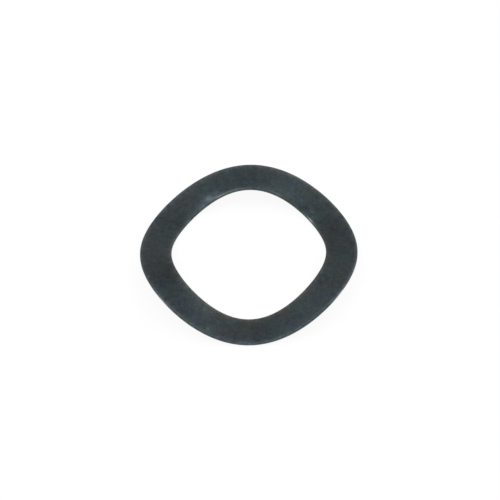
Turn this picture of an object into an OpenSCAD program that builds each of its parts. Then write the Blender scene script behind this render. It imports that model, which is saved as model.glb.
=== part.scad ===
// Three-wave spring washer, which preloads a ball bearing against its seat.
// A flat ring is punched from spring strip, its edges are tumbled round, and it is
// pressed into waves. Radial lines of the sheet stay level, so the bore and the rim
// stay true cylinders in plan while the strip rises and falls round the ring.
// The pressed ring springs a little out of true, so its three crests differ in height.
// The origin is on the bore's axis, in the plane that the troughs stand on.
// The first crest lies on +Y and the others follow it counter-clockwise.

/* [Ring] */
// Outer diameter
outer_d = 21.5; // [19:0.1:30]
// Diameter of the bore
bore_d = 15.25; // [12:0.05:18]
// Thickness of the strip
strip_t = 0.3; // [0.25:0.01:0.5]
// Radius of the tumbled edges
edge_r = 0.1; // [0.03:0.01:0.11]

/* [Waves] */
// Rise of the waves above their troughs
rise = 1.8; // [0.6:0.05:2.6]
// Bend of the whole ring out of true
bend = 0.15; // [0:0.01:0.25]
// Angle of the diameter whose ends the bend lifts
bend_angle = 15; // [0:5:175]

/* [Hidden] */

outer_r = outer_d / 2;
bore_r = bore_d / 2;
waves = 3;
first_crest = 90;

// How finely the sheet is divided: along each wave, across the ring, round each edge
steps_per_wave = 48;
steps_across = 4;
steps_per_edge = 2;
steps_round = steps_per_wave * waves;
stations = [for (j = [0 : steps_round - 1]) first_crest + 360 * j / steps_round];

// The sheet runs this far past the ring at both edges, and is then trimmed to it
overrun = 0.01;
// Height to spare above and below the waves for the trimming
spare_z = 1;

// Height that the waves give, with its change per radian
function wave_z(angle) = rise / 2 * (1 + cos(waves * (angle - first_crest)));
function wave_dz(angle) = -waves * rise / 2 * sin(waves * (angle - first_crest));

// Height that the bend adds, with its change per radian. The first term is the bend, and
// the second tilts the ring until it stands on its three troughs again.
function tilt_angle(angle) = angle + 2 * bend_angle - waves * first_crest;
function bend_z(angle) = bend * (cos(2 * (angle - bend_angle)) + cos(tilt_angle(angle)));
function bend_dz(angle) = -bend * (2 * sin(2 * (angle - bend_angle)) + sin(tilt_angle(angle)));

// Height of the sheet's middle at an angle, with the lowest trough standing at zero
lowest = min([for (angle = stations) wave_z(angle) + bend_z(angle)]);
highest = max([for (angle = stations) wave_z(angle) + bend_z(angle)]);
function middle_z(angle) = strip_t / 2 + wave_z(angle) + bend_z(angle) - lowest;

// Slope of the sheet along a circle of radius r, which is steeper at the bore
function slope(angle, r) = atan((wave_dz(angle) + bend_dz(angle)) / r);

// A point of the strip, set off from its middle square to the slope
function strip_point(angle, r, off) =
    let (tilt = slope(angle, r), back = asin(off * sin(tilt) / r))
    [r * cos(angle - back), r * sin(angle - back), middle_z(angle) + off * cos(tilt)];

// Upper half of the section from the rim to the bore, as [radius, height off the middle]
edge_angles = [for (i = [0 : steps_per_edge]) 90 * i / steps_per_edge];
rim_edge = [for (a = edge_angles)
    [outer_r - edge_r * (1 - cos(a)), strip_t / 2 - edge_r * (1 - sin(a))]];
bore_edge = [for (a = edge_angles)
    [bore_r + edge_r * (1 - sin(a)), strip_t / 2 - edge_r * (1 - cos(a))]];
face_out = outer_r - edge_r;
face_in = bore_r + edge_r;
face = [for (i = [1 : steps_across - 1])
    [face_out + (face_in - face_out) * i / steps_across, strip_t / 2]];
upper_half = concat(rim_edge, face, bore_edge);

// The outermost facet of each edge runs straight on past the ring
facet_angle = 90 / steps_per_edge;
overrun_drop = overrun * sin(facet_angle) / (1 - cos(facet_angle));
last = len(upper_half) - 1;
upper_overrun = [for (i = [0 : last])
    i == 0 ? upper_half[i] + [overrun, -overrun_drop]
    : i == last ? upper_half[i] + [-overrun, -overrun_drop]
    : upper_half[i]];
lower_overrun = [for (i = [last : -1 : 0]) [upper_overrun[i].x, -upper_overrun[i].y]];
section = concat(upper_overrun, lower_overrun);

// The rounded strip, swept round the waves
module waved_strip() {
    count = len(section);
    points = [for (angle = stations, p = section) strip_point(angle, p.x, p.y)];
    faces = [for (j = [0 : steps_round - 1], i = [0 : count - 1], half = [0, 1])
        let (
            here = j * count,
            next = ((j + 1) % steps_round) * count,
            up = (i + 1) % count
        )
        half == 0 ? [here + i, next + i, next + up] : [here + i, next + up, here + up]];
    polyhedron(points = points, faces = faces);
}

// The ring in plan, taller than the waves
module punched_ring() {
    translate([0, 0, -spare_z])
    linear_extrude(highest - lowest + strip_t + 2 * spare_z)
    difference() {
        circle(r = outer_r, $fn = steps_round);
        circle(r = bore_r, $fn = steps_round);
    }
}

module wave_washer() {
    color([0.20, 0.23, 0.25])
    intersection() {
        waved_strip();
        punched_ring();
    }
}

wave_washer();
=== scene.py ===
"""Looks of a wave spring washer: a ring of blue-black spring steel on a white table."""

import math
from collections import namedtuple

import bpy
import numpy as np
from mathutils import Matrix, Vector, noise


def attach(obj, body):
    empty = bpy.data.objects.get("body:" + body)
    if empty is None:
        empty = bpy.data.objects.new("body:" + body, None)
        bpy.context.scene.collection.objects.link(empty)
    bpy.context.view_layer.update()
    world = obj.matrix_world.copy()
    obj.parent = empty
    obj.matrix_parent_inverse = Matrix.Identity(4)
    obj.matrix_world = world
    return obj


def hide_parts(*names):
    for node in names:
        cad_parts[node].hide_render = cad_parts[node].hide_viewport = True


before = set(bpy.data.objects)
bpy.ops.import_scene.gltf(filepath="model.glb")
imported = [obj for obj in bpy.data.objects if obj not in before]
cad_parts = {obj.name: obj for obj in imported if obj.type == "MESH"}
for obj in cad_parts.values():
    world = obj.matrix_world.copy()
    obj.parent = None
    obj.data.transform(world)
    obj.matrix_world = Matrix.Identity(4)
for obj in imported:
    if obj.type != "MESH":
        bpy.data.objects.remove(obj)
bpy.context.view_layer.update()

PIECE = "waved_ring"
NODE = "wave_washer"
SLOT = "blackened_steel"
MM = 0.001

# Waves round the ring, and where the first crest lies, in degrees, as the record's axes say
WAVES = 3
FIRST_CREST = 90.0

# How far from the first crest the strip still counts as level, in degrees
CREST_REACH = 1.0

# Rounding of the strip's edges, the same as the solid's
EDGE_R = 0.1 * MM

# How finely the mesh is divided: round the ring, across a face, round an edge, down a wall
STATIONS = 960
FACE_STEPS = 32
EDGE_STEPS = 6
WALL_STEPS = 4

# Camera, fitted to both outlines of the ring in the 500 x 500 photograph. Its angles are in degrees.
PHOTO_SIDE = 500.0
PIXELS_PER_MM = 10.112
RING_CENTRE_PX = (249.03, 259.24)
CAMERA_DISTANCE = 712.6 * MM
CAMERA_ELEVATION = 51.3
CAMERA_AZIMUTH = 2.52
CAMERA_ROLL = 2.14
CAMERA_CLIP_START = 10 * MM
SENSOR = 36.0 * MM

# Where the oxide is tinted: angle round the ring, share of the way from bore to rim,
# reach along and across in millimetres, and strength
Patch = namedtuple("Patch", "angle share along across strength")
# Pale places: pale oxide flecks, and painted sheen in the bright bluish patch from 110 to 126 degrees by the
# bore and round the glint at 38.8 degrees
PALE_AND_SHEEN = [
    Patch(38.8, 0.13, 0.22, 0.22, 0.16),
    Patch(43.4, 0.28, 0.16, 0.12, 0.28),
    Patch(55.0, 0.33, 0.22, 0.12, 0.24),
    Patch(61.0, 0.36, 0.18, 0.12, 0.20),
    Patch(62.8, 0.18, 0.30, 0.14, 0.16),
    Patch(62.8, 0.51, 0.20, 0.14, 0.16),
    Patch(110.6, 0.09, 0.42, 0.11, 0.28),
    Patch(114.4, 0.22, 0.16, 0.16, 0.22),
    Patch(116.4, 0.08, 0.36, 0.09, 0.80),
    Patch(118.2, 0.11, 0.26, 0.11, 0.45),
    Patch(118.5, 0.20, 1.10, 0.42, 0.20),
    Patch(119.7, 0.18, 0.32, 0.17, 0.92),
    Patch(121.3, 0.26, 0.14, 0.12, 0.35),
    Patch(126.0, 0.12, 0.60, 0.30, 0.20),
    Patch(239.5, 0.24, 0.22, 0.16, 0.22),
    Patch(242.5, 0.20, 0.50, 0.25, 0.10),
    Patch(246.8, 0.82, 0.18, 0.14, 0.30),
    Patch(248.5, 0.80, 0.40, 0.30, 0.10),
]
TEAL = [
    Patch(5.0, 0.32, 1.1, 0.35, 0.5),
    Patch(37.0, 0.22, 0.8, 0.45, 0.7),
    Patch(54.0, 0.38, 0.9, 0.35, 0.6),
    Patch(66.0, 0.40, 1.5, 0.60, 0.6),
    Patch(80.0, 0.28, 1.1, 0.30, 0.5),
    Patch(92.0, 0.15, 1.2, 0.40, 0.5),
    Patch(107.0, 0.12, 1.2, 0.30, 0.6),
    Patch(116.0, 0.24, 1.6, 0.55, 1.0),
    Patch(290.0, 0.75, 1.3, 0.45, 0.5),
    Patch(328.0, 0.88, 1.0, 0.30, 0.7),
]
VIOLET = [
    Patch(45.5, 0.24, 0.5, 0.35, 0.8),
    Patch(55.0, 0.20, 0.9, 0.30, 0.8),
    Patch(61.0, 0.38, 0.9, 0.40, 0.5),
    Patch(72.0, 0.12, 0.8, 0.25, 0.5),
    Patch(127.5, 0.20, 0.9, 0.40, 1.0),
    Patch(218.0, 0.30, 0.6, 0.35, 1.0),
    Patch(227.0, 0.68, 1.2, 0.60, 0.8),
    Patch(231.0, 0.22, 1.2, 0.40, 0.6),
    Patch(239.0, 0.76, 1.2, 0.50, 0.9),
    Patch(240.0, 0.38, 1.0, 0.40, 0.6),
    Patch(264.0, 0.90, 1.6, 0.25, 0.8),
    Patch(278.0, 0.72, 0.9, 0.60, 0.6),
    Patch(301.0, 0.62, 1.1, 0.45, 0.7),
]
WARM = [
    Patch(9.0, 0.65, 1.0, 0.50, 0.3),
    Patch(24.0, 0.36, 1.4, 0.50, 0.9),
    Patch(60.0, 0.88, 1.0, 0.30, 0.6),
    Patch(84.0, 0.72, 1.0, 0.50, 0.5),
    Patch(101.0, 0.62, 1.4, 0.60, 1.0),
    Patch(105.0, 0.40, 0.8, 0.35, 0.5),
    Patch(112.0, 0.80, 2.0, 0.50, 0.7),
    Patch(140.0, 0.65, 2.2, 0.60, 0.6),
    Patch(172.0, 0.65, 1.6, 0.70, 0.8),
    Patch(206.0, 0.35, 0.8, 0.70, 0.8),
    Patch(211.0, 0.92, 1.4, 0.25, 0.7),
    Patch(257.0, 0.55, 1.5, 0.70, 0.6),
    Patch(259.0, 0.12, 1.0, 0.30, 1.0),
    Patch(284.5, 0.45, 1.5, 0.80, 1.0),
    Patch(304.0, 0.22, 1.5, 0.45, 1.0),
    Patch(317.0, 0.45, 0.8, 0.50, 1.0),
    Patch(329.0, 0.55, 1.2, 0.70, 0.7),
    Patch(350.0, 0.12, 1.0, 0.35, 1.0),
]
OLIVE = [
    Patch(6.0, 0.08, 1.5, 0.30, 0.8),
    Patch(27.5, 0.78, 0.9, 0.40, 1.0),
    Patch(30.0, 0.62, 1.0, 0.50, 1.0),
    Patch(69.0, 0.78, 1.3, 0.35, 0.6),
    Patch(78.0, 0.65, 0.5, 0.40, 0.5),
    Patch(97.0, 0.35, 0.8, 0.40, 0.6),
    Patch(154.5, 0.48, 1.3, 0.50, 0.9),
    Patch(175.0, 0.08, 1.8, 0.30, 1.0),
    Patch(187.0, 0.35, 1.2, 0.60, 0.8),
    Patch(268.0, 0.32, 0.9, 0.40, 0.8),
    Patch(346.0, 0.60, 1.6, 0.60, 0.9),
]
TINTS = {"pale": PALE_AND_SHEEN, "teal": TEAL, "violet": VIOLET, "warm": WARM, "olive": OLIVE}

# Where the surface is painted a little lighter or darker than elsewhere: partly the oxide's own
# tone, partly painted light and shade
SHADE = [
    Patch(12.0, 0.08, 1.6, 0.30, -0.10),
    Patch(27.0, 0.60, 1.1, 0.60, -0.06),
    Patch(31.0, 0.45, 0.7, 0.45, -0.13),
    Patch(50.0, 0.24, 1.1, 0.50, -0.09),
    Patch(53.5, 0.05, 1.8, 0.30, -0.28),
    Patch(62.0, 0.50, 2.0, 1.40, 0.05),
    Patch(68.0, 0.18, 1.8, 0.45, 0.12),
    Patch(94.0, 0.93, 1.9, 0.40, 0.20),
    Patch(105.0, 0.35, 0.8, 0.40, 0.10),
    Patch(119.0, 0.00, 0.6, 0.12, -0.25),
    Patch(129.0, 0.05, 0.8, 0.16, -0.20),
    Patch(163.0, 0.87, 1.6, 0.40, 0.14),
    Patch(175.0, 0.10, 1.5, 0.35, -0.07),
    Patch(200.0, 0.90, 1.8, 0.25, 0.06),
    Patch(205.0, 0.25, 0.8, 0.50, -0.15),
    Patch(209.0, 0.45, 1.7, 1.40, -0.12),
    Patch(213.0, 0.08, 2.8, 0.35, 0.14),
    Patch(226.0, 0.20, 1.9, 0.45, 0.12),
    Patch(230.0, 0.68, 1.6, 0.45, -0.12),
    Patch(236.0, 0.20, 1.2, 0.50, 0.08),
    Patch(240.5, 0.38, 0.6, 0.35, 0.10),
    Patch(245.0, 0.08, 0.7, 0.30, -0.08),
    Patch(255.0, 0.06, 1.2, 0.25, -0.10),
    Patch(256.0, 0.50, 1.2, 1.40, -0.08),
    Patch(272.0, 0.50, 1.2, 1.40, 0.05),
    Patch(282.0, 0.50, 0.8, 1.20, -0.12),
    Patch(301.0, 0.60, 0.9, 0.40, -0.12),
    Patch(327.0, 0.89, 1.2, 0.22, -0.12),
    Patch(332.0, 0.50, 1.8, 1.40, 0.05),
    Patch(344.0, 0.97, 1.6, 0.25, -0.13),
    Patch(357.5, 0.50, 1.0, 1.10, -0.13),
]

# How the outlines of patches and edge marks stray across and round the ring: up to how many
# millimetres, how finely, and where the noise for it is taken
Stray = namedtuple("Stray", "reach per_mm seed")
STRAYS_ACROSS = [Stray(0.12, 2.2, (5, 1, 9)), Stray(0.07, 5.5, (2, 8, 4))]
STRAYS_ROUND = [Stray(0.25, 1.6, (7, 3, 6)), Stray(0.10, 4.5, (4, 6, 1))]

# Wear and painted highlights of the edges: how far in the burnish fades, how far in the rubs and
# painted highlights lie, how wide they are, and how wide the lip is, which is the rim's wall and
# the outermost part of its rounding, where the painted reflections lie
BURNISH_WIDTH = 0.15 * MM
RUB_AND_HIGHLIGHT_DEPTH = 0.09 * MM
RUB_AND_HIGHLIGHT_WIDTH = 0.07 * MM
LIP_WIDTH = 0.05 * MM

# Marks along the edges: angle and reach along the edge in degrees, and strength. The bore's are
# rubs and painted highlights, with a painted glint at 38.5 degrees, the rim's are rubs, and the
# lip's are painted reflections of the white table where the crests stand high
EdgeMark = namedtuple("EdgeMark", "angle reach strength")
BORE_RUBS_AND_HIGHLIGHTS = [EdgeMark(38.5, 4.5, 2.8), EdgeMark(71.0, 6.0, 0.4), EdgeMark(103.0, 7.0, 1.15), EdgeMark(113.0, 5.0, 1.7)]
RIM_RUBS = [EdgeMark(230.0, 6.0, 0.3), EdgeMark(288.0, 8.0, 0.2)]
LIP_REFLECTIONS = [EdgeMark(219.0, 7.0, 2.2), EdgeMark(327.0, 7.0, 2.0)]

# Bands along the upper edges that lighten and tint the colour: what they multiply the colour
# by, how far in they reach in millimetres, and where they lie along the bore's edge and the rim's
EdgeBand = namedtuple("EdgeBand", "name tint width bore rim")
EDGE_BANDS = [
    EdgeBand("brown", (1.48, 1.13, 0.90), 0.35, [EdgeMark(258.0, 95.0, 1.0)], []),
    EdgeBand("grey", (1.50, 1.28, 1.20), 0.40, [], [EdgeMark(85.0, 85.0, 1.0)]),
    EdgeBand("blue", (0.96, 1.00, 1.05), 0.25, [], [EdgeMark(262.0, 45.0, 1.0)]),
]

# The strip's walls, in the bore and round the rim: how far into the rounding their finish
# reaches, the painted shade they multiply the colour by, darker and less blue, for the shaded
# table that they reflect, how much of the mottle they lose, and how much rougher they are
WALL_REACH = 0.5 * EDGE_R
WALL_PAINTED_SHADE = (0.98, 0.89, 0.83)
WALL_CALM = 0.5
WALL_ROUGHNESS = 0.1

# Colours of the oxide, of its pale places and painted sheen, of a rubbed edge and of painted
# highlights, and of the steel that shows where rubs are strongest, which also paints the
# brightest glints and reflections
BLUE_BLACK = (0.0412, 0.0512, 0.0532)
PALE_OXIDE_AND_SHEEN = (0.120, 0.160, 0.182)
RUBBED_AND_HIGHLIT_OXIDE = (0.135, 0.150, 0.152)
BARE_STEEL_AND_GLINT = (0.36, 0.38, 0.40)

# Noise patterns of the finish: how many to a millimetre, how much finer detail they have and
# how strong it is, and where in the noise they are taken
Pattern = namedtuple("Pattern", "per_mm detail roughness shift")
MOTTLE = Pattern(1.9, 4.0, 0.65, (0, 0, 0))
FLECKS = Pattern(6.0, 2.0, 0.60, (3, -21, 11))
GRAIN = Pattern(13.0, 2.0, 0.60, (-5, 2, 17))

# Rolling lines of the strip: which way they run, and how narrow and long they are
ROLLING_LINES = Pattern(1.0, 3.0, 0.60, (0, 0, 0))
ROLLING_TURN = math.radians(35)
ROLLING_STRETCH = (9.0, 0.4, 1.0)

# Oxides that the blackening left on the blue-black, in the order in which they cover it: the
# tint that paints them, their colour, and the clouds in which they drift over the rest
Oxide = namedtuple("Oxide", "tint colour clouds")
OXIDES = [
    Oxide("olive", (0.0400, 0.0490, 0.0440), Pattern(0.55, 3.0, 0.60, (41, 3, 9))),
    Oxide("warm", (0.0440, 0.0465, 0.0500), Pattern(0.60, 3.0, 0.60, (-9, 31, 7))),
    Oxide("teal", (0.0385, 0.0570, 0.0620), Pattern(0.50, 3.0, 0.60, (5, 12, -3))),
    Oxide("violet", (0.0425, 0.0520, 0.0650), Pattern(0.55, 3.0, 0.60, (17, 5, 3))),
]

# What a pattern's low and high values become. The mottle thins and thickens painted tints, and
# a tint's clouds are its weight elsewhere.
Span = namedtuple("Span", "low high to_low to_high")
TINT_BY_MOTTLE = Span(0.35, 0.65, 0.3, 1.3)
TINT_BY_CLOUDS = Span(0.47, 0.68, 0.0, 0.7)

# What each pattern multiplies the oxide's lightness by
LIGHT_BY_MOTTLE = Span(0.3, 0.7, 0.76, 1.24)
LIGHT_BY_FLECKS = Span(0.3, 0.7, 0.85, 1.15)
LIGHT_BY_GRAIN = Span(0.3, 0.7, 0.86, 1.14)
LIGHT_BY_LINES = Span(0.3, 0.7, 0.95, 1.05)

# How strongly pale places and painted sheen, burnish, and rubs and painted highlights show,
# and bare steel and painted glints where those are strongest
PALE_AND_SHEEN_BY_FLECKS = Span(0.3, 0.65, 0.5, 1.25)
BURNISH_BY_MOTTLE = Span(0.3, 0.7, 1.0, 2.0)
RUB_AND_HIGHLIGHT_BY_FLECKS = Span(0.3, 0.7, 0.6, 1.2)
BARE_AND_GLINT_BY_MARK = Span(1.0, 2.0, 0.0, 1.0)

# Roughness, and the relief of grain and rolling lines
ROUGHNESS_BY_MOTTLE = Span(0.3, 0.7, 0.38, 0.46)
RELIEF_DEPTH = 0.008 * MM
RELIEF_STRENGTH = 0.3
RELIEF_OF_LINES = 0.5

# The table: how far it reaches each way, how grey it is in the room's light, how white it glows
# for the camera and in reflections, and how much of its light and shade it keeps there
TABLE_REACH = 2.0
TABLE_GREY = 0.8
TABLE_GLOW = 0.91
SHADOW_SHARE = 0.12

# The room's greys by height, from level at 0 to overhead at 1
ROOM_GREYS = [(0.0, 1.0), (0.07, 1.0), (0.12, 0.6), (1.0, 0.6)]

# Soft lights over the washer: bearing from +Y towards +X, angle from the zenith and half the
# angle that they fill, all in degrees, brightness, where 1 is the white backdrop's, and colour
Softbox = namedtuple("Softbox", "name bearing from_zenith half_angle brightness colour")
SOFTBOXES = [
    Softbox("key", 57, 38, 18, 0.96, (0.93, 1.0, 1.0)),
    Softbox("fill", 310, 27, 18, 1.02, (0.93, 1.0, 1.0)),
    Softbox("back", 22, 56, 15, 0.85, (1.0, 1.0, 1.0)),
]
SOFTBOX_DISTANCE = 0.9

# Places of a Mix node's factor, colours and result among its sockets for every kind of value
MIX_FACTOR, MIX_A, MIX_B, MIX_RESULT = 0, 6, 7, 2


# Sizes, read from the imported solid

def harmonics(degrees):
    """The steady term and one to WAVES waves round the ring, at angles in degrees."""
    turns = np.radians(degrees)
    terms = [np.ones_like(turns)]
    for waves in range(1, WAVES + 1):
        terms += [np.cos(waves * turns), np.sin(waves * turns)]
    return np.stack(terms, axis=-1)


def harmonic_slopes(degrees):
    """Change of each term per radian."""
    turns = np.radians(degrees)
    terms = [np.zeros_like(turns)]
    for waves in range(1, WAVES + 1):
        terms += [-waves * np.sin(waves * turns), waves * np.cos(waves * turns)]
    return np.stack(terms, axis=-1)


def measure_ring():
    """Radii and thickness of the washer in metres, and the waves that its middle follows."""
    points = np.array([vertex.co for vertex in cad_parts[NODE].data.vertices], dtype=float)
    radii = np.hypot(points[:, 0], points[:, 1])
    angles = np.degrees(np.arctan2(points[:, 1], points[:, 0]))
    at_crest = points[np.abs(angles - FIRST_CREST) < CREST_REACH, 2]
    return {
        "outer": radii.max(),
        "bore": radii.min(),
        "width": radii.max() - radii.min(),
        "thickness": at_crest.max() - at_crest.min(),
        "waves": np.linalg.lstsq(harmonics(angles), points[:, 2], rcond=None)[0],
    }


RING = measure_ring()


# Shape of the washer

def strip_points(angles, radii, offsets):
    """Points of the strip, set off from its middle square to the slope."""
    heights = harmonics(angles) @ RING["waves"]
    tilts = np.arctan(harmonic_slopes(angles) @ RING["waves"] / radii)
    turns = np.radians(angles) - np.arcsin(offsets * np.sin(tilts) / radii)
    raised = heights + offsets * np.cos(tilts)
    return np.stack([radii * np.cos(turns), radii * np.sin(turns), raised], axis=-1)


def section_loop():
    """The strip's section as a loop of (radius, height off the middle)."""
    outer, bore, half = RING["outer"], RING["bore"], RING["thickness"] / 2
    quarter = []
    for step in range(EDGE_STEPS + 1):
        turn = math.radians(90 * step / EDGE_STEPS)
        quarter.append((EDGE_R * (1 - math.cos(turn)), EDGE_R * (1 - math.sin(turn))))
    face_from, face_to = outer - EDGE_R, bore + EDGE_R
    upper = [(outer - back, half - drop) for back, drop in quarter]
    upper += [(face_from + (face_to - face_from) * step / FACE_STEPS, half) for step in range(1, FACE_STEPS)]
    upper += [(bore + back, half - drop) for back, drop in reversed(quarter)]
    wall_half = half - EDGE_R
    wall = [wall_half - 2 * wall_half * step / WALL_STEPS for step in range(1, WALL_STEPS)]
    bore_wall = [(bore, offset) for offset in wall]
    lower = [(radius, -offset) for radius, offset in reversed(upper)]
    rim_wall = [(outer, -offset) for offset in wall]
    return upper + bore_wall + lower + rim_wall


# Wear and tints, painted on the mesh as weights

def fade(distance, reach):
    """From 1 at no distance down to almost nothing at twice the reach."""
    return np.exp(-(distance / reach) ** 2)


def degrees_past(angles, angle):
    """How far angles lie past another one, the short way round."""
    return (angles - angle + 180) % 360 - 180


def strayed(points, strays):
    """How far the paint strays at each point, in metres."""
    total = np.zeros(len(points))
    for stray in strays:
        per_metre, seed = stray.per_mm / MM, Vector(stray.seed)
        swings = [noise.noise(Vector(point) * per_metre + seed) for point in points]
        total += stray.reach * MM * np.array(swings)
    return total


def patch_weights(patches, angles, radii):
    """Sum of the patches at each place."""
    total = np.zeros_like(angles)
    for patch in patches:
        along = np.radians(degrees_past(angles, patch.angle)) * radii
        across = radii - RING["bore"] - patch.share * RING["width"]
        total += patch.strength * fade(along, patch.along * MM) * fade(across, patch.across * MM)
    return total


def edge_mark_weights(edge_marks, angles):
    """Sum of the marks along an edge at each angle."""
    total = np.zeros_like(angles)
    for rub in edge_marks:
        total += rub.strength * fade(degrees_past(angles, rub.angle), rub.reach)
    return total


def paint_weights(points, angles, radii, offsets):
    """Every painted weight, by name. Burnish and walls go all round the strip's section, and the
    lip's painted reflections all down the rim. The rest lies on the upper side. All but the first two are
    ragged."""
    from_rim, from_bore = RING["outer"] - radii, radii - RING["bore"]
    at_bore = from_bore < from_rim
    depths = np.minimum(from_rim, from_bore)
    upper = offsets > 0
    raised = np.clip((offsets - RING["thickness"] / 2 + EDGE_R) / EDGE_R, 0, 1)
    ragged_angles = angles + np.degrees(strayed(points, STRAYS_ROUND) / radii)
    ragged_radii = radii + strayed(points, STRAYS_ACROSS)

    def along_edges(bore_marks, rim_marks):
        """The marks of whichever edge is nearer."""
        return np.where(at_bore, edge_mark_weights(bore_marks, ragged_angles), edge_mark_weights(rim_marks, ragged_angles))

    # Rubs and painted highlights on the upper edges, with a painted glint at 38.5 degrees, and painted
    # reflections down the rim's lip
    edge_marks = upper * along_edges(BORE_RUBS_AND_HIGHLIGHTS, RIM_RUBS) * fade(depths - RUB_AND_HIGHLIGHT_DEPTH, RUB_AND_HIGHLIGHT_WIDTH)
    lip_reflections = along_edges([], LIP_REFLECTIONS) * fade(depths, LIP_WIDTH)
    weights = {
        "burnish": np.exp(-depths / BURNISH_WIDTH),
        "wall": np.maximum(0, 1 - depths / WALL_REACH),
        "rub": edge_marks + lip_reflections,
        "shade": upper * patch_weights(SHADE, ragged_angles, ragged_radii),
    }
    for name, patches in TINTS.items():
        weights[name] = upper * patch_weights(patches, ragged_angles, ragged_radii)
    for band in EDGE_BANDS:
        banded = raised * along_edges(band.bore, band.rim)
        weights[band.name] = banded * np.exp(-depths / (band.width * MM))
    return weights


def make_washer():
    """One closed mesh, swept round the waves."""
    loop = np.array(section_loop())
    count = len(loop)
    stations = FIRST_CREST + 360 * np.arange(STATIONS) / STATIONS
    angles = np.repeat(stations, count)
    radii, offsets = np.tile(loop[:, 0], STATIONS), np.tile(loop[:, 1], STATIONS)
    points = strip_points(angles, radii, offsets)
    faces = []
    for station in range(STATIONS):
        here, there = station * count, (station + 1) % STATIONS * count
        for step in range(count):
            after = (step + 1) % count
            faces.append((here + step, there + step, there + after, here + after))
    mesh = bpy.data.meshes.new(PIECE)
    mesh.from_pydata(points.tolist(), [], faces)
    for name, weights in paint_weights(points, angles, radii, offsets).items():
        mesh.attributes.new(name, "FLOAT", "POINT").data.foreach_set("value", weights.astype(np.float32))
    mesh.polygons.foreach_set("use_smooth", [True] * len(faces))
    mesh.update()
    washer = bpy.data.objects.new(PIECE, mesh)
    bpy.context.scene.collection.objects.link(washer)
    return washer


# Materials

class Nodes:
    """Short ways to make the nodes of a material or of the world."""

    def __init__(self, tree):
        self.tree = tree
        tree.nodes.clear()

    def feed(self, socket, value):
        """Links a socket to another node, or sets it to a number or a colour."""
        if isinstance(value, bpy.types.NodeSocket):
            self.tree.links.new(value, socket)
        elif hasattr(value, "__len__") and len(value) < len(socket.default_value):
            socket.default_value = (*value, 1.0)
        else:
            socket.default_value = value

    def add(self, kind, props=None, **values):
        """A node with its properties set and its named sockets fed."""
        made = self.tree.nodes.new("ShaderNode" + kind)
        for name, value in (props or {}).items():
            setattr(made, name, value)
        for name, value in values.items():
            self.feed(made.inputs[name.replace("_", " ")], value)
        return made

    def math(self, operation, a, b):
        """A sum, product or the like of two numbers."""
        made = self.add("Math", {"operation": operation})
        self.feed(made.inputs[0], a)
        self.feed(made.inputs[1], b)
        return made.outputs[0]

    def plus(self, a, b):
        return self.math("ADD", a, b)

    def times(self, a, b):
        return self.math("MULTIPLY", a, b)

    def mix(self, factor, a, b):
        """Colour a to colour b."""
        made = self.add("Mix", {"data_type": "RGBA", "clamp_factor": True})
        for place, value in ((MIX_FACTOR, factor), (MIX_A, a), (MIX_B, b)):
            self.feed(made.inputs[place], value)
        return made.outputs[MIX_RESULT]

    def scale(self, colour, factor):
        """A colour times a number."""
        return self.add("VectorMath", {"operation": "SCALE"}, Vector=colour, Scale=factor).outputs[0]

    def multiply(self, a, b):
        """One colour times another."""
        made = self.add("VectorMath", {"operation": "MULTIPLY"})
        self.feed(made.inputs[0], a)
        self.feed(made.inputs[1], b)
        return made.outputs[0]

    def span(self, value, span):
        """A value brought from one range to another, and held there."""
        return self.add("MapRange", Value=value, From_Min=span.low, From_Max=span.high,
                        To_Min=span.to_low, To_Max=span.to_high).outputs[0]

    def pattern(self, place, pattern, turn=0.0, stretch=(1, 1, 1)):
        """Smooth noise from 0 to 1, as fine as the pattern says."""
        scale = [share / MM for share in stretch]
        moved = self.add("Mapping", Vector=place, Location=pattern.shift, Rotation=(0, 0, turn), Scale=scale)
        return self.add("TexNoise", Vector=moved.outputs[0], Scale=pattern.per_mm, Detail=pattern.detail,
                        Roughness=pattern.roughness).outputs[0]

    def painted(self, name):
        """A weight that is painted on the mesh."""
        return self.add("Attribute", {"attribute_name": name}).outputs["Fac"]


def tinted_oxide(nodes, place, mottle):
    """Blue-black with its tints, each in its patches and, weakly, wherever its own clouds drift."""
    ragged = nodes.span(mottle, TINT_BY_MOTTLE)
    colour = BLUE_BLACK
    for oxide in OXIDES:
        clouds = nodes.span(nodes.pattern(place, oxide.clouds), TINT_BY_CLOUDS)
        weight = nodes.plus(nodes.times(nodes.painted(oxide.tint), ragged), clouds)
        colour = nodes.mix(weight, colour, oxide.colour)
    return colour


def lightness(nodes, mottle, flecks, grain, lines):
    """What the oxide's colour is multiplied by, round about 1, and more evenly on the walls."""
    coarse = nodes.times(nodes.span(mottle, LIGHT_BY_MOTTLE), nodes.span(flecks, LIGHT_BY_FLECKS))
    fine = nodes.times(nodes.span(grain, LIGHT_BY_GRAIN), nodes.span(lines, LIGHT_BY_LINES))
    # The shade patches paint the oxide's own tone and painted light and shade into the colour
    light = nodes.times(nodes.times(coarse, fine), nodes.plus(nodes.painted("shade"), 1.0))
    calm = nodes.times(nodes.painted("wall"), WALL_CALM)
    return nodes.plus(light, nodes.times(calm, nodes.math("SUBTRACT", 1.0, light)))


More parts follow.
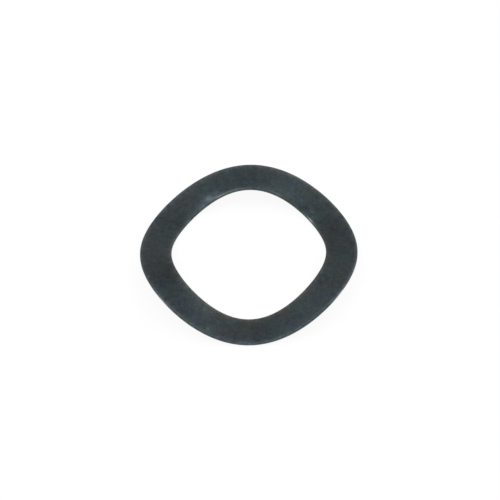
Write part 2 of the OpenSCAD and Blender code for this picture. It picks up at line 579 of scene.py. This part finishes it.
def edge_wear_and_painted_light(nodes, oxide, mottle, flecks):
    """The oxide with its edges burnished all round, banded in places, its walls darkened with painted shade,
    and rubs, painted highlights and painted reflections that reach bare steel's colour in a few places.
    """
    burnish = nodes.times(nodes.painted("burnish"), nodes.span(mottle, BURNISH_BY_MOTTLE))
    colour = nodes.scale(oxide, nodes.plus(burnish, 1.0))
    # Lighter and tinted bands along the upper edges
    for band in EDGE_BANDS:
        colour = nodes.mix(nodes.painted(band.name), colour, nodes.multiply(colour, band.tint))
    # Painted shade darkens the walls
    colour = nodes.mix(nodes.painted("wall"), colour, nodes.multiply(colour, WALL_PAINTED_SHADE))
    # Rubs, painted highlights and painted reflections lighten the edges; the strongest take bare steel's
    # colour, which there paints glints
    rub = nodes.times(nodes.painted("rub"), nodes.span(flecks, RUB_AND_HIGHLIGHT_BY_FLECKS))
    colour = nodes.mix(rub, colour, RUBBED_AND_HIGHLIT_OXIDE)
    return nodes.mix(nodes.span(rub, BARE_AND_GLINT_BY_MARK), colour, BARE_STEEL_AND_GLINT)


def blackened_steel():
    """Blue-black oxide on rolled spring strip: mottled, tinted in patches, worn along its edges, with
    painted sheen, highlights, reflections and shade.
    """
    material = bpy.data.materials.new(SLOT)
    material.use_nodes = True
    nodes = Nodes(material.node_tree)
    place = nodes.add("TexCoord").outputs["Object"]
    mottle = nodes.pattern(place, MOTTLE)
    flecks = nodes.pattern(place, FLECKS)
    grain = nodes.pattern(place, GRAIN)
    lines = nodes.pattern(place, ROLLING_LINES, ROLLING_TURN, ROLLING_STRETCH)

    light = lightness(nodes, mottle, flecks, grain, lines)
    oxide = nodes.scale(tinted_oxide(nodes, place, mottle), light)
    # Pale oxide, and painted sheen that lightens the colour where a lamp's reflection is painted in
    pale = nodes.times(nodes.painted("pale"), nodes.span(flecks, PALE_AND_SHEEN_BY_FLECKS))
    oxide = nodes.mix(pale, oxide, PALE_OXIDE_AND_SHEEN)
    colour = edge_wear_and_painted_light(nodes, oxide, mottle, flecks)

    on_walls = nodes.times(nodes.painted("wall"), WALL_ROUGHNESS)
    roughness = nodes.plus(nodes.span(mottle, ROUGHNESS_BY_MOTTLE), on_walls)
    relief = nodes.plus(grain, nodes.times(lines, RELIEF_OF_LINES))
    bump = nodes.add("Bump", Height=relief, Strength=RELIEF_STRENGTH, Distance=RELIEF_DEPTH).outputs[0]
    shader = nodes.add("BsdfPrincipled", Base_Color=colour, Metallic=1.0, Roughness=roughness, Normal=bump)
    nodes.add("OutputMaterial", Surface=shader.outputs[0])
    return material


def table_white():
    """White for the camera and in reflections, with a little of the washer's shadow kept."""
    material = bpy.data.materials.new("table_white")
    material.use_nodes = True
    nodes = Nodes(material.node_tree)
    path = nodes.add("LightPath").outputs
    seen = nodes.math("MAXIMUM", path["Is Camera Ray"], path["Is Glossy Ray"])
    seen = nodes.math("MAXIMUM", seen, path["Is Transmission Ray"])
    plain = nodes.add("BsdfDiffuse", Color=(TABLE_GREY,) * 3)
    shaded = nodes.add("BsdfDiffuse", Color=(SHADOW_SHARE,) * 3)
    glow = nodes.add("Emission", Color=(1, 1, 1), Strength=TABLE_GLOW)
    white = nodes.add("AddShader")
    nodes.feed(white.inputs[0], shaded.outputs[0])
    nodes.feed(white.inputs[1], glow.outputs[0])
    both = nodes.add("MixShader")
    nodes.feed(both.inputs[0], seen)
    nodes.feed(both.inputs[1], plain.outputs[0])
    nodes.feed(both.inputs[2], white.outputs[0])
    nodes.add("OutputMaterial", Surface=both.outputs[0])
    return material


# Surroundings

def make_table():
    """A flat white square under the washer."""
    corners = [(-1, -1), (1, -1), (1, 1), (-1, 1)]
    mesh = bpy.data.meshes.new("table")
    mesh.from_pydata([(x * TABLE_REACH, y * TABLE_REACH, 0.0) for x, y in corners], [], [(0, 1, 2, 3)])
    mesh.materials.append(table_white())
    table = bpy.data.objects.new("table", mesh)
    bpy.context.scene.collection.objects.link(table)


def make_world():
    """A studio room: a white backdrop low down all round, and plain grey walls and ceiling."""
    world = bpy.data.worlds.new("studio")
    bpy.context.scene.world = world
    world.use_nodes = True
    nodes = Nodes(world.node_tree)
    direction = nodes.add("TexCoord").outputs["Generated"]
    up = nodes.add("SeparateXYZ", Vector=direction).outputs["Z"]
    ramp = nodes.add("ValToRGB", Fac=up)
    stops = ramp.color_ramp.elements
    for height, _ in ROOM_GREYS[1:-1]:
        stops.new(height)
    for stop, (height, grey) in zip(stops, ROOM_GREYS):
        stop.position = height
        stop.color = (grey, grey, grey, 1)
    sky = nodes.add("Background", Color=ramp.outputs[0], Strength=1.0)
    nodes.add("OutputWorld", Surface=sky.outputs[0])


def make_softbox(box):
    """A square soft light that faces the washer. Its power is its brightness times pi times its area."""
    turn, lean = math.radians(box.bearing), math.radians(box.from_zenith)
    aside = math.sin(lean)
    place = Vector((math.sin(turn) * aside, math.cos(turn) * aside, math.cos(lean))) * SOFTBOX_DISTANCE
    data = bpy.data.lights.new(box.name, "AREA")
    data.shape = "SQUARE"
    data.size = 2 * SOFTBOX_DISTANCE * math.tan(math.radians(box.half_angle))
    data.energy = box.brightness * math.pi * data.size ** 2
    data.color = box.colour
    lamp = bpy.data.objects.new(box.name, data)
    lamp.location = place
    lamp.rotation_euler = (-place).to_track_quat("-Z", "Y").to_euler()
    bpy.context.scene.collection.objects.link(lamp)


def make_camera():
    """The photograph's view, moved aside so that the ring lies where the photograph has it."""
    azimuth, elevation = math.radians(CAMERA_AZIMUTH), math.radians(CAMERA_ELEVATION)
    aside = math.cos(elevation)
    back = Vector((math.sin(azimuth) * aside, -math.cos(azimuth) * aside, math.sin(elevation)))
    level = (-back).to_track_quat("-Z", "Y").to_matrix()
    turned = level @ Matrix.Rotation(-math.radians(CAMERA_ROLL), 3, "Z")
    right, up = turned.col[0], turned.col[1]
    off_x = (PHOTO_SIDE / 2 - RING_CENTRE_PX[0]) / PIXELS_PER_MM * MM
    off_y = (RING_CENTRE_PX[1] - PHOTO_SIDE / 2) / PIXELS_PER_MM * MM
    middle = Vector((0, 0, RING["thickness"] / 2))
    place = middle + back * CAMERA_DISTANCE + right * off_x + up * off_y
    data = bpy.data.cameras.new("camera")
    data.sensor_width = SENSOR / MM
    data.lens = PIXELS_PER_MM / MM * CAMERA_DISTANCE / PHOTO_SIDE * SENSOR / MM
    data.clip_start = CAMERA_CLIP_START
    camera = bpy.data.objects.new("camera", data)
    camera.matrix_world = Matrix.Translation(place) @ turned.to_4x4()
    bpy.context.scene.collection.objects.link(camera)
    bpy.context.scene.camera = camera


# The scene

make_camera()
make_table()
make_world()
for box in SOFTBOXES:
    make_softbox(box)

washer = make_washer()
washer.data.materials.append(blackened_steel())
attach(washer, "root")
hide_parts(NODE)

bpy.context.scene.view_settings.view_transform = "Standard"
